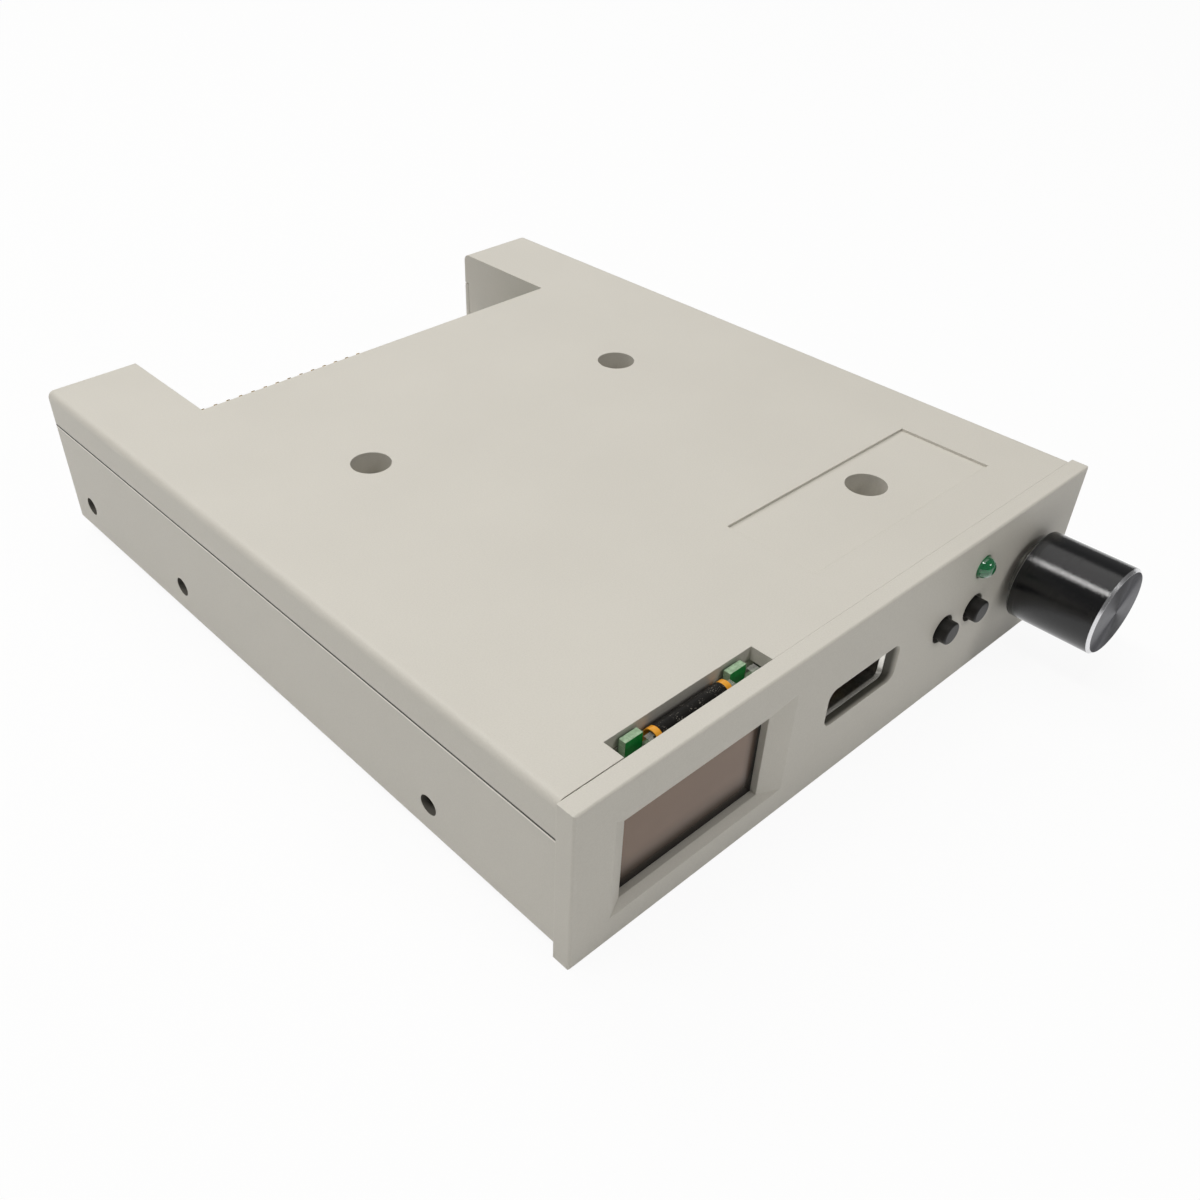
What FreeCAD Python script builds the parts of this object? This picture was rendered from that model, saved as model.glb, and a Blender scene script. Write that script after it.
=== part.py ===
import FreeCAD
import Part
import math
import os

from FreeCAD import Vector

# A 3.5 inch floppy drive emulator, in millimetres. Every piece is modelled with X to the right as seen from
# the front, Y measured back from the bezel's front face and Z up from the bezel's lower edge. place() then
# moves it so that the origin is at the middle of the footprint, on the surface that the bezel stands on.

# Case
BEZEL_WIDTH = 101.6
BEZEL_HEIGHT = 25.4
BEZEL_DEPTH = 2.65
BODY_WIDTH = 101.3
CASE_DEPTH = 122.2
BASE_Z = 1.7
WALL = 2.0
SPLIT_Z = 19.65
SPLIT_GAP = 0.2
NOTCH_WIDTH = 70.8
LID_NOTCH_Y = 99.7
SHELF_Y = 114.0
NOTCH_WALL = 1.6
LID_GAP = 0.005
LID_GAP_LEFT = 0.14
LID_EDGE_RADIUS = 1.2
CORNER_RADIUS = 1.0
TONGUE = 1.2

# Display window and the slot above it
WINDOW_OUTER = (-44.5, -14.1, 4.15, 20.25)
WINDOW_INNER = (-42.2, -17.9, 4.95, 17.95)
WINDOW_BEVEL = 1.0
PANE_Y = 1.95
PANE_THICKNESS = 1.0
PANE_LAP = 1.0
SLOT = (-41.0, -16.8, 5.85)
BOARD_Y = 4.5
BOARD_THICKNESS = 1.0
EAR_TOP = 24.9

# Label recess in the lid: left, right, front, back, depth
LABEL = (0.4, 40.25, 9.8, 24.4, 0.4)

# Screws down the lid's wells
WELLS = ((24.4, 69.3), (-25.3, 69.4), (23.5, 18.7))
WELL_RADIUS = 3.0
WELL_WALL = 1.2
WELL_FLOOR = 2.0
SCREW_RADIUS = 1.2
SCREW_HEAD_RADIUS = 2.5

# Side mounting holes, the distances behind the bezel's face and their height
SIDE_HOLES_Y = (25.3, 85.3, 115.3)
SIDE_HOLE_Z = 7.0
SIDE_HOLE_RADIUS = 1.5
SIDE_BOSS_RADIUS = 3.3
SIDE_BOSS_LENGTH = 4.0

# Main board
PCB_TOP = 9.6
PCB_THICKNESS = 1.6
PCB_HALF = 44.2
PCB_FRONT = 3.2
PCB_TAIL_Y = 113.3

# USB socket
USB_X = 0.6
USB_Y = 1.25
USB_WIDTH = 13.1
USB_HEIGHT = 5.12
USB_LENGTH = 14.0
USB_SHEET = 0.3
USB_FLARE = 0.2
USB_TONGUE = 2.33
USB_Z = 10.0

# Push buttons
BUTTONS_X = (18.75, 26.1)
BUTTON_Z = 12.65
BUTTON_RADIUS = 1.7
BUTTON_HOLE_RADIUS = 2.2
BUTTON_OUT = 1.6
SWITCH_Y = 3.1
SWITCH_DEPTH = 3.6
SWITCH_SIZE = 6.0

# LED
LED_X = 25.8
LED_Z = 19.72
LED_RADIUS = 1.66
LED_OUT = 1.42
LED_LENGTH = 5.3
LED_HOLE_RADIUS = 1.73

# Rotary encoder and knob
KNOB_X = 40.1
KNOB_Z = 12.5
KNOB_RADIUS = 6.64
KNOB_BACK = -1.3
KNOB_FRONT = -13.95
KNOB_WALL = 0.85
KNOB_CHAMFER = 0.55
SHAFT_RADIUS = 3.0
SHAFT_FRONT = -12.4
SHAFT_FLAT = 1.5
BUSHING_RADIUS = 3.45
BUSHING_FRONT = -2.3
NUT_THICKNESS = 1.6
WASHER_THICKNESS = 0.4
ENCODER_SIZE = 11.8
ENCODER_BACK = 11.2
RUNNING_GAP = 0.05

# Rear headers: first column, pitch, columns, heights of the rows, front of the body, pin tips, pin size
PIN_PITCH = 2.54
ROWS = (11.34, 13.88)
FLOPPY = (-33.53, PIN_PITCH, 17, ROWS, 111.0, 120.3, 0.64)
JUMPER = (9.87, PIN_PITCH, 6, ROWS, 110.0, 118.0, 0.64)
POWER = (26.3, 2.5, 4, (13.0,), 108.0, 118.0, 1.14)

BEZEL_FACE_Y = -(CASE_DEPTH + KNOB_FRONT) / 2


def block(x0, x1, y0, y1, z0, z1):
    return Part.makeBox(x1 - x0, y1 - y0, z1 - z0, Vector(x0, y0, z0))


def post(x, y, z0, z1, radius):
    return Part.makeCylinder(radius, z1 - z0, Vector(x, y, z0), Vector(0, 0, 1))


def rod(x, z, y0, y1, radius):
    return Part.makeCylinder(radius, y1 - y0, Vector(x, y0, z), Vector(0, 1, 0))


def prism(points, z0, z1):
    corners = [Vector(x, y, z0) for x, y in points]
    wire = Part.makePolygon(corners + corners[:1])
    return Part.Face(wire).extrude(Vector(0, 0, z1 - z0))


def fused(shapes):
    result = shapes[0].multiFuse(shapes[1:])
    return result.removeSplitter()


def group(shapes):
    return Part.makeCompound(shapes)


def rounded(shape, radius, chosen):
    """Rounds the edges for which chosen(middle of the edge, direction) is true."""
    edges = []
    for edge in shape.Edges:
        middle = edge.BoundBox.Center
        size = edge.BoundBox
        direction = max((size.XLength, "x"), (size.YLength, "y"), (size.ZLength, "z"))[1]
        if chosen(middle, direction):
            edges.append(edge)
    return shape.makeFillet(radius, edges)


def frame_wire(x0, x1, z0, z1, y, radius):
    """A closed rectangle with round corners in the plane at depth y."""
    k = radius * (1 - math.sqrt(0.5))
    stops = [
        ((x0 + radius, z0), (x1 - radius, z0), (x1 - k, z0 + k), (x1, z0 + radius)),
        ((x1, z0 + radius), (x1, z1 - radius), (x1 - k, z1 - k), (x1 - radius, z1)),
        ((x1 - radius, z1), (x0 + radius, z1), (x0 + k, z1 - k), (x0, z1 - radius)),
        ((x0, z1 - radius), (x0, z0 + radius), (x0 + k, z0 + k), (x0 + radius, z0)),
    ]
    edges = []
    for stop in stops:
        a, b, c, d = (Vector(x, y, z) for x, z in stop)
        edges.append(Part.LineSegment(a, b).toShape())
        edges.append(Part.Arc(b, c, d).toShape())
    return Part.Wire(edges)


def sleeve(x0, x1, z0, z1, y0, y1, radius):
    """A bar along Y with round corners."""
    return Part.Face(frame_wire(x0, x1, z0, z1, y0, radius)).extrude(Vector(0, y1 - y0, 0))


def wire_run(points, radius, bend):
    """A round wire along straight runs joined by tangent arcs."""
    stops = [Vector(*p) for p in points]
    edges = []
    start = stops[0]
    for before, corner, after in zip(stops, stops[1:], stops[2:]):
        back = (before - corner).normalize()
        ahead = (after - corner).normalize()
        enter = corner + back * bend
        leave = corner + ahead * bend
        middle = corner + (back + ahead).normalize() * bend * (math.sqrt(2) - 1)
        edges.append(Part.LineSegment(start, enter).toShape())
        edges.append(Part.Arc(enter, middle, leave).toShape())
        start = leave
    edges.append(Part.LineSegment(start, stops[-1]).toShape())
    path = Part.Wire(edges)
    circle = Part.makeCircle(radius, stops[0], stops[1] - stops[0])
    return path.makePipeShell([Part.Wire([circle])], True, False)


def case_outline(inset, front, notch):
    """The case seen from above: a rectangle with a U-shaped notch in its rear edge."""
    side = BODY_WIDTH / 2 - inset
    horn = NOTCH_WIDTH / 2 + inset
    rear = CASE_DEPTH - inset
    middle = notch - inset
    left = [(-horn, middle), (-horn, rear), (-side, rear), (-side, front)]
    right = [(-x, y) for x, y in reversed(left)]
    return left + right


def rear_corner(middle, direction):
    return direction == "z" and middle.y > CASE_DEPTH - 1 and abs(middle.x) > BODY_WIDTH / 2 - 1


def base_tray():
    top = SPLIT_Z - SPLIT_GAP / 2
    outer = prism(case_outline(0, 1.0, SHELF_Y), BASE_Z, top)
    outer = rounded(outer, CORNER_RADIUS, rear_corner)
    cavity = prism(case_outline(WALL, BEZEL_DEPTH, SHELF_Y), BASE_Z + WALL, top + 1)
    horn = NOTCH_WIDTH / 2 + NOTCH_WALL + 0.1
    low = PCB_TOP - PCB_THICKNESS
    opening = block(-horn, horn, LID_NOTCH_Y - NOTCH_WALL, CASE_DEPTH - 0.9, low, top + 1)
    tray = outer.cut(cavity).cut(opening)
    low = [e for e in tray.Edges if e.BoundBox.ZMax < BASE_Z + 0.01]
    return tray.makeChamfer(0.8, [e for e in low if e.BoundBox.Center.y > CASE_DEPTH - 0.01])


def bezel_plate():
    half = BEZEL_WIDTH / 2
    plate = block(-half, half, 0, BEZEL_DEPTH, 0, BEZEL_HEIGHT)
    return rounded(plate, 0.35, lambda m, d: m.y < 0.01)


def rectangle(x0, x1, z0, z1, y):
    corners = ((x0, z0), (x1, z0), (x1, z1), (x0, z1), (x0, z0))
    return Part.makePolygon([Vector(x, y, z) for x, z in corners])


def window_cut():
    x0, x1, z0, z1 = WINDOW_OUTER
    front = rectangle(x0, x1, z0, z1, 0)
    x0, x1, z0, z1 = WINDOW_INNER
    back = rectangle(x0, x1, z0, z1, WINDOW_BEVEL)
    bevel = Part.makeLoft([front, back], True, True)
    straight = block(x0, x1, WINDOW_BEVEL - 0.01, BEZEL_DEPTH + 1, z0, z1)
    lap = PANE_LAP
    pocket = block(x0 - lap, x1 + lap, PANE_Y, BEZEL_DEPTH + 1, z0 - lap, z1 + lap)
    return fused([bevel, straight, pocket])


def usb_cut():
    half = USB_WIDTH / 2
    low, high = USB_Z, USB_Z + USB_HEIGHT
    front = frame_wire(USB_X - half - 1.0, USB_X + half + 1.0, low - 0.05, high + 0.95, 0, 1.5)
    gap = 0.15
    sides = (USB_X - half - gap, USB_X + half + gap, low - gap, high + gap)
    taper = 1.4
    back = frame_wire(*sides, taper, 0.9)
    return Part.makeLoft([front, back], True, True).fuse(sleeve(*sides, taper, BEZEL_DEPTH + 1, 0.9))


def side_boss(side, y):
    inner = BODY_WIDTH / 2 - WALL - SIDE_BOSS_LENGTH
    start = Vector(side * inner, y, SIDE_HOLE_Z)
    boss = Part.makeCylinder(SIDE_BOSS_RADIUS, SIDE_BOSS_LENGTH + 1, start, Vector(side, 0, 0))
    foot = SIDE_BOSS_RADIUS * 0.6
    ends = sorted((side * inner, side * (BODY_WIDTH / 2 - 1)))
    return boss.fuse(block(*ends, y - foot, y + foot, BASE_Z + 1, SIDE_HOLE_Z))


def side_hole(side, y):
    inner = BODY_WIDTH / 2 - WALL - SIDE_BOSS_LENGTH - 1
    start = Vector(side * inner, y, SIDE_HOLE_Z)
    return Part.makeCylinder(SIDE_HOLE_RADIUS, WALL + SIDE_BOSS_LENGTH + 3, start, Vector(side, 0, 0))


def display_rails():
    floor = BASE_Z + WALL - 0.5
    behind = BOARD_Y + BOARD_THICKNESS + 0.05
    rails = []
    for wall, lip in (((-43.6, -42.05), (-42.1, -41.2)), ((-15.25, -13.7), (-16.1, -15.2))):
        rails.append(block(*wall, BEZEL_DEPTH - 0.5, behind + 0.9, floor, 20))
        rails.append(block(*lip, behind, behind + 0.9, floor, 20))
    return rails


def base_case():
    floor = BASE_Z + WALL
    seat = PCB_TOP - PCB_THICKNESS
    solids = [base_tray(), bezel_plate()]
    solids += [post(x, y, floor - 1, seat, SIDE_BOSS_RADIUS) for x, y in WELLS]
    solids += [post(x, y, floor - 1, seat, 2.0) for x, y in ((-38, 22), (-38, 92), (38, 92), (38, 40))]
    solids += [side_boss(side, y) for side in (-1, 1) for y in SIDE_HOLES_Y]
    solids += display_rails()
    case = fused(solids)
    cuts = [window_cut(), usb_cut()]
    cuts += [rod(x, BUTTON_Z, -1, BEZEL_DEPTH + 1, BUTTON_HOLE_RADIUS) for x in BUTTONS_X]
    cuts.append(rod(LED_X, LED_Z, -1, BEZEL_DEPTH + 1, LED_HOLE_RADIUS))
    cuts.append(rod(KNOB_X, KNOB_Z, -1, BEZEL_DEPTH + 1, BUSHING_RADIUS + 0.15))
    cuts += [post(x, y, floor - 0.4, seat + 1, SCREW_RADIUS) for x, y in WELLS]
    cuts += [post(x, y, 0, BASE_Z + 0.8, 2.2) for x, y in WELLS]
    cuts += [side_hole(side, y) for side in (-1, 1) for y in SIDE_HOLES_Y]
    return case.cut(group(cuts))


def lid_shell():
    low = SPLIT_Z + SPLIT_GAP / 2
    front = BEZEL_DEPTH + LID_GAP
    side = BODY_WIDTH / 2
    outer = prism(case_outline(0, front, LID_NOTCH_Y), low, BEZEL_HEIGHT)
    outer = rounded(outer, CORNER_RADIUS, rear_corner)

    def outer_top(middle, direction):
        on_top = middle.z > BEZEL_HEIGHT - 0.01
        return on_top and (abs(middle.x) > side - 1 or middle.y > CASE_DEPTH - 1)

    outer = rounded(outer, LID_EDGE_RADIUS, outer_top)
    cavity = prism(case_outline(WALL, front - 1, LID_NOTCH_Y), low - 1, BEZEL_HEIGHT - WALL)
    return outer.cut(cavity)


def lid_skirts():
    """Walls that hang down into the case: beside both sides, and around the notch."""
    top = BEZEL_HEIGHT - 1
    inner = BODY_WIDTH / 2 - WALL - 0.1
    horn = NOTCH_WIDTH / 2
    rear = CASE_DEPTH - 1.0
    low = SPLIT_Z - 2.2
    board = PCB_TOP - PCB_THICKNESS + 0.1
    walls = [block(-horn, horn, LID_NOTCH_Y - NOTCH_WALL, LID_NOTCH_Y, 16.8, top)]
    for side in (-1, 1):
        walls.append(block(*sorted((side * (inner - TONGUE), side * inner)), 8, CASE_DEPTH - 4, low, top))
        across = sorted((side * horn, side * (horn + NOTCH_WALL)))
        walls.append(block(*across, LID_NOTCH_Y - NOTCH_WALL, rear, board, top))
    return walls


def lid():
    plate = BEZEL_HEIGHT - WALL
    tubes = [post(x, y, PCB_TOP, plate + 1, WELL_RADIUS + WELL_WALL) for x, y in WELLS]
    left, right, back = SLOT
    rib = block(left - 1, right + 1, back, back + 1.3, plate - 2.8, plate + 0.5)
    cover = fused([lid_shell(), rib] + lid_skirts() + tubes)
    floor = PCB_TOP + WELL_FLOOR
    cuts = [block(left, right, 0, back, plate - 4, BEZEL_HEIGHT + 1)]
    cuts.append(block(left - 2, right + 2, back - 2, back + 0.5, plate - 0.2, plate))
    cuts.append(block(-BEZEL_WIDTH / 2, left, 0, BEZEL_DEPTH + LID_GAP_LEFT, 0, BEZEL_HEIGHT + 1))
    x0, x1, y0, y1, depth = LABEL
    cuts.append(block(x0, x1, y0, y1, BEZEL_HEIGHT - depth, BEZEL_HEIGHT + 1))
    cuts += [post(x, y, floor, BEZEL_HEIGHT + 1, WELL_RADIUS) for x, y in WELLS]
    cuts += [post(x, y, PCB_TOP - 1, floor + 1, SCREW_RADIUS + 0.2) for x, y in WELLS]
    return cover.cut(group(cuts))


def case_screws():
    seat = PCB_TOP + WELL_FLOOR
    screws = []
    for x, y in WELLS:
        head = rounded(post(x, y, seat, seat + 1.9, SCREW_HEAD_RADIUS), 0.7, lambda m, d: m.z > seat + 1.8)
        shank = post(x, y, BASE_Z + WALL + 0.2, seat + 0.1, SCREW_RADIUS)
        cross = [block(x - 1.5, x + 1.5, y - 0.3, y + 0.3, seat + 0.9, seat + 3)]
        cross.append(block(x - 0.3, x + 0.3, y - 1.5, y + 1.5, seat + 0.9, seat + 3))
        screws.append(head.fuse(shank).cut(cross[0]).cut(cross[1]))
    return group(screws)


def main_board():
    low = PCB_TOP - PCB_THICKNESS
    board = block(-PCB_HALF, PCB_HALF, PCB_FRONT, 97.5, low, PCB_TOP)
    tail = NOTCH_WIDTH / 2 - 0.6
    board = board.fuse(block(-tail, tail, 97, PCB_TAIL_Y, low, PCB_TOP)).removeSplitter()
    cuts = [block(-50, -13.4, 0, 11.0, 0, 20), block(32.8, 50, 0, 20.5, 0, 20)]
    cuts += [post(x, y, 0, 20, SCREW_RADIUS + 0.2) for x, y in WELLS]
    for places, radius in board_holes():
        cuts += [post(x, y, 0, 20, radius) for x, y in places]
    return board.cut(group(cuts))


def board_holes():
    """Where the pieces' legs go through the board, with the radius of each hole."""
    wall = (USB_WIDTH - USB_SHEET) / 2 - USB_FLARE
    usb = [(USB_X + side * wall, y) for side in (-1, 1) for y in (6.2, 12.6)]
    contacts = [(USB_X + x, USB_Y + USB_LENGTH + 0.2) for x in (-3.5, -1.0, 1.0, 3.5)]
    arm = SWITCH_SIZE / 2 + 0.15
    brackets = [(x + side * arm, SWITCH_Y + 2.7) for x in BUTTONS_X for side in (-1, 1)]
    terminals = [(x + dx, SWITCH_Y + SWITCH_DEPTH + 1.35) for x in BUTTONS_X for dx in (-2.25, 2.25)]
    led = [(LED_X + dx, 8.18) for dx in (-1.27, 1.27)]
    headers = stems(*FLOPPY[:5]) + stems(*JUMPER[:5])
    power = stems(*POWER[:5])
    return [(usb, 0.9), (brackets, 0.6), (contacts + terminals + led, 0.4), (headers, 0.5), (power, 0.9)]


def usb_mouth(side, up, y, radius):
    """The outline of the socket at depth y, drawn in from its full width and height."""
    half = USB_WIDTH / 2 - side
    return frame_wire(USB_X - half, USB_X + half, USB_Z + up, USB_Z + USB_HEIGHT - up, y, radius)


def usb_shell():
    """A folded steel box whose mouth flares out to both sides, with four sprung tongues."""
    sheet = USB_SHEET
    inner = USB_FLARE + sheet
    half = USB_WIDTH / 2
    top = USB_Z + USB_HEIGHT
    back = USB_Y + USB_LENGTH
    walls = (USB_X - half + USB_FLARE, USB_X + half - USB_FLARE)
    outer = sleeve(*walls, USB_Z, top, USB_Y + 0.35, back, 0.9)
    outer = outer.fuse(Part.makeLoft([usb_mouth(0, 0, USB_Y, 0.9), usb_mouth(USB_FLARE, 0, USB_Y + 0.35, 0.9)], True))
    hollow = (USB_X - half + inner, USB_X + half - inner, USB_Z + sheet, top - sheet)
    mouth = Part.makeLoft([usb_mouth(0.1, sheet, USB_Y, 0.6), usb_mouth(inner, sheet, USB_Y + 0.5, 0.6)], True)
    shell = outer.cut(sleeve(*hollow, USB_Y - 1, back - sheet, 0.6)).cut(mouth)
    slits = []
    bumps = []
    for x in (USB_X - 3.0, USB_X + 3.0):
        for z in (USB_Z, top):
            spring = block(x - 1.2, x + 1.2, 3.4, 8.4, z - 1, z + 1)
            slits.append(spring.cut(block(x - 0.85, x + 0.85, 3.9, 9, z - 2, z + 2)))
            inside = z + (sheet if z == USB_Z else -sheet)
            bumps.append(Part.makeSphere(0.55, Vector(x, 4.9, inside + (-0.2 if z == USB_Z else 0.2))))
    shell = shell.cut(group(slits)).multiFuse(bumps)
    room = block(USB_X - half, USB_X + half, USB_Y, back, USB_Z, top)
    shell = shell.common(room)
    legs = []
    for side in (-1, 1):
        x = USB_X + side * (half - USB_FLARE - sheet / 2)
        for y in (6.2, 12.6):
            legs.append(block(x - sheet / 2, x + sheet / 2, y - 0.8, y + 0.8, PCB_TOP - 2.4, USB_Z + 1.6))
    return shell.multiFuse(legs).removeSplitter()


def usb_insulator():
    under = USB_Z + USB_TONGUE
    back = USB_Y + USB_LENGTH - USB_SHEET
    inner = USB_WIDTH / 2 - USB_SHEET
    half = inner - 0.6
    rear = block(USB_X - half, USB_X + half, 10.6, back, USB_Z + 0.35, USB_Z + USB_HEIGHT - 0.35)
    tongue = block(USB_X - 5.5, USB_X + 5.5, USB_Y + 0.9, 10.7, under, under + 1.84)
    tongue = rounded(tongue, 0.35, lambda m, d: m.y < USB_Y + 1 and d == "x")
    return fused([rear, tongue])


def usb_contacts():
    """Four strips under the tongue, with tails that go down into the board behind the shell."""
    under = USB_Z + USB_TONGUE
    back = USB_Y + USB_LENGTH
    contacts = []
    for x in (-3.5, -1.0, 1.0, 3.5):
        strip = block(USB_X + x - 0.5, USB_X + x + 0.5, USB_Y + 1.7, 10.6, under - 0.15, under)
        contacts.append(strip)
        tail = block(USB_X + x - 0.25, USB_X + x + 0.25, back, back + 0.4, PCB_TOP - 2.2, USB_Z + 1.9)
        contacts.append(tail)
    return group(contacts)


def switch_body(x):
    half = SWITCH_SIZE / 2
    back = SWITCH_Y + SWITCH_DEPTH
    body = block(x - half, x + half, SWITCH_Y, back, BUTTON_Z - half, BUTTON_Z + half)
    body = rounded(body, 0.5, lambda m, d: d == "y")
    guide = rod(x, BUTTON_Z, SWITCH_Y - 1, 4.1, BUTTON_RADIUS + 0.08)
    chamber = rod(x, BUTTON_Z, 4.1, 5.9, 2.7)
    return body.cut(guide).cut(chamber)


def button(x):
    """A plunger with a rounded front edge and a flange that stays inside the switch."""
    stem = rod(x, BUTTON_Z, -BUTTON_OUT, 4.6, BUTTON_RADIUS)
    stem = rounded(stem, 0.3, lambda m, d: m.y < 0)
    flange = rod(x, BUTTON_Z, 4.25, 4.95, 2.4)
    return stem.fuse(flange).removeSplitter()


def switch_domes():
    domes = []
    for x in BUTTONS_X:
        ball = Part.makeSphere(7.0, Vector(x, 12.3, BUTTON_Z))
        core = Part.makeSphere(6.88, Vector(x, 12.3, BUTTON_Z))
        domes.append(ball.cut(core).common(rod(x, BUTTON_Z, 5.2, 5.9, 2.4)))
    return group(domes)


def switch_brackets():
    """Steel stirrups that hold the two switches upright on the board."""
    half = SWITCH_SIZE / 2
    back = SWITCH_Y + SWITCH_DEPTH
    stirrups = []
    for x in BUTTONS_X:
        low = PCB_TOP + 0.3
        pieces = [block(x - half - 0.3, x + half + 0.3, back, back + 0.3, low, BUTTON_Z + half - 0.6)]
        for side in (-1, 1):
            edges = sorted((x + side * half, x + side * (half + 0.3)))
            pieces.append(block(*edges, SWITCH_Y + 1.0, back + 0.3, low, BUTTON_Z + 1.5))
            pieces.append(block(*edges, SWITCH_Y + 2.2, SWITCH_Y + 3.2, PCB_TOP - 2.2, PCB_TOP + 0.5))
        stirrups.append(fused(pieces))
    return group(stirrups)


def switch_terminals():
    pins = []
    for x in BUTTONS_X:
        for dx in (-2.25, 2.25):
            back = SWITCH_Y + SWITCH_DEPTH + 0.3
            edges = (x + dx - 0.25, x + dx + 0.25)
            run = block(*edges, back, back + 1.2, PCB_TOP + 1.2, PCB_TOP + 1.5)
            drop = block(*edges, back + 0.9, back + 1.2, PCB_TOP - 2.2, PCB_TOP + 1.5)
            pins.append(fused([run, drop]))
    return group(pins)


def led_lens():
    tip = -LED_OUT
    centre = tip + LED_RADIUS
    base = tip + LED_LENGTH
    dome = Part.makeSphere(LED_RADIUS, Vector(LED_X, centre, LED_Z))
    barrel = rod(LED_X, LED_Z, centre, base, LED_RADIUS)
    flange = rod(LED_X, LED_Z, base - 1.0, base, 2.1)
    return fused([dome, barrel, flange])


def led_leads():
    start = LED_LENGTH - LED_OUT
    leads = []
    for dx in (-1.27, 1.27):
        x = LED_X + dx
        run = block(x - 0.22, x + 0.22, start, 8.4, LED_Z - 0.22, LED_Z + 0.22)
        drop = block(x - 0.22, x + 0.22, 7.96, 8.4, PCB_TOP - 2.2, LED_Z + 0.22)
        leads.append(run.fuse(drop).removeSplitter())
    return group(leads)


def encoder_bushing():
    face = BEZEL_DEPTH
    half = ENCODER_SIZE / 2
    plate = block(KNOB_X - half, KNOB_X + half, face, face + 0.9, KNOB_Z - half, KNOB_Z + half)
    neck = rod(KNOB_X, KNOB_Z, BUSHING_FRONT, face + 0.1, BUSHING_RADIUS)
    neck = neck.makeChamfer(0.35, [e for e in neck.Edges if e.BoundBox.YMax < BUSHING_FRONT + 0.01])
    return fused([plate, neck]).cut(rod(KNOB_X, KNOB_Z, -5, 5, SHAFT_RADIUS + RUNNING_GAP))


def encoder_washer():
    ring = rod(KNOB_X, KNOB_Z, -WASHER_THICKNESS, 0, 4.1)
    return ring.cut(rod(KNOB_X, KNOB_Z, -2, 2, BUSHING_RADIUS + 0.15))


def encoder_nut():
    front = -WASHER_THICKNESS - NUT_THICKNESS
    corner = 4.62
    turns = [math.radians(60 * k) for k in range(7)]
    points = [Vector(KNOB_X + corner * math.cos(a), front, KNOB_Z + corner * math.sin(a)) for a in turns]
    nut = Part.Face(Part.makePolygon(points)).extrude(Vector(0, NUT_THICKNESS, 0))
    return nut.cut(rod(KNOB_X, KNOB_Z, -5, 5, BUSHING_RADIUS))


def encoder_housing():
    half = ENCODER_SIZE / 2
    front = BEZEL_DEPTH + 0.9
    body = block(KNOB_X - half, KNOB_X + half, front, ENCODER_BACK, KNOB_Z - half, KNOB_Z + half)
    body = rounded(body, 0.6, lambda m, d: d == "y")
    body = body.cut(rod(KNOB_X, KNOB_Z, front - 1, 8.2, 5.2))
    return body.cut(rod(KNOB_X, KNOB_Z, 8, 10.3, 1.7))


def encoder_frame():
    """A steel clip over the body, with ears that lock behind it."""
    half = ENCODER_SIZE / 2
    clip = []
    for side in (-1, 1):
        edges = sorted((KNOB_X + side * half, KNOB_X + side * (half + 0.4)))
        clip.append(block(*edges, BEZEL_DEPTH, ENCODER_BACK + 0.4, KNOB_Z - 3, KNOB_Z + 3))
        ear = sorted((KNOB_X + side * (half - 1.6), KNOB_X + side * (half + 0.4)))
        clip.append(block(*ear, ENCODER_BACK, ENCODER_BACK + 0.4, KNOB_Z - 3, KNOB_Z + 3))
    left = clip[0].fuse(clip[1]).removeSplitter()
    right = clip[2].fuse(clip[3]).removeSplitter()
    return group([left, right])


def encoder_rotor():
    disc = rod(KNOB_X, KNOB_Z, 4.6, 6.6, 4.7)
    ring = [rod(KNOB_X, KNOB_Z, 6.0, 7, 4.3).cut(rod(KNOB_X, KNOB_Z, 5.9, 7.1, 3.7))]
    return disc.cut(ring[0]).cut(rod(KNOB_X, KNOB_Z, 4, 8, SHAFT_RADIUS))


def encoder_shaft():
    shaft = rod(KNOB_X, KNOB_Z, SHAFT_FRONT, 7.4, SHAFT_RADIUS)
    tip = [e for e in shaft.Edges if e.BoundBox.YMax < SHAFT_FRONT + 0.01]
    shaft = shaft.makeChamfer(0.3, tip)
    flat = block(KNOB_X - 4, KNOB_X + 4, SHAFT_FRONT - 1, -5.4, KNOB_Z + SHAFT_FLAT, KNOB_Z + 5)
    return shaft.cut(flat)


def encoder_plunger():
    return rod(KNOB_X, KNOB_Z, 7.45, 9.5, 1.62)


def encoder_terminals():
    pins = []
    for x, z in encoder_pin_places():
        pins.append(block(x - 0.5, x + 0.5, ENCODER_BACK, ENCODER_BACK + 3.4, z - 0.2, z + 0.2))
    return group(pins)


def encoder_pin_places():
    lower = [(KNOB_X + dx, KNOB_Z - 5.0) for dx in (-2.5, 0, 2.5)]
    upper = [(KNOB_X + dx, KNOB_Z + 5.0) for dx in (-2.5, 2.5)]
    return lower + upper


def encoder_wires():
    """Wires from the terminals, down or up beside the board and across to their pads on it."""
    wires = []
    level = PCB_TOP + 2.2
    for k, (x, z) in enumerate(encoder_pin_places()):
        y = 17.0 + 1.5 * k
        start = ENCODER_BACK + 3.4
        points = [(x, start, z), (x, y, z), (x, y, level), (29.5, y, level), (29.5, y, PCB_TOP)]
        wires.append(wire_run(points, 0.5, 1.1))
    return group(wires)


def knob():
    """A turned aluminium cap: hollow behind, with a bright chamfer round its end."""
    cap = rod(KNOB_X, KNOB_Z, KNOB_FRONT, KNOB_BACK, KNOB_RADIUS)
    tip = [e for e in cap.Edges if e.BoundBox.YMax < KNOB_FRONT + 0.01]
    cap = cap.makeChamfer(KNOB_CHAMFER, tip)
    return cap.cut(rod(KNOB_X, KNOB_Z, KNOB_FRONT + 1.3, KNOB_BACK + 1, KNOB_RADIUS - KNOB_WALL))


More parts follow.
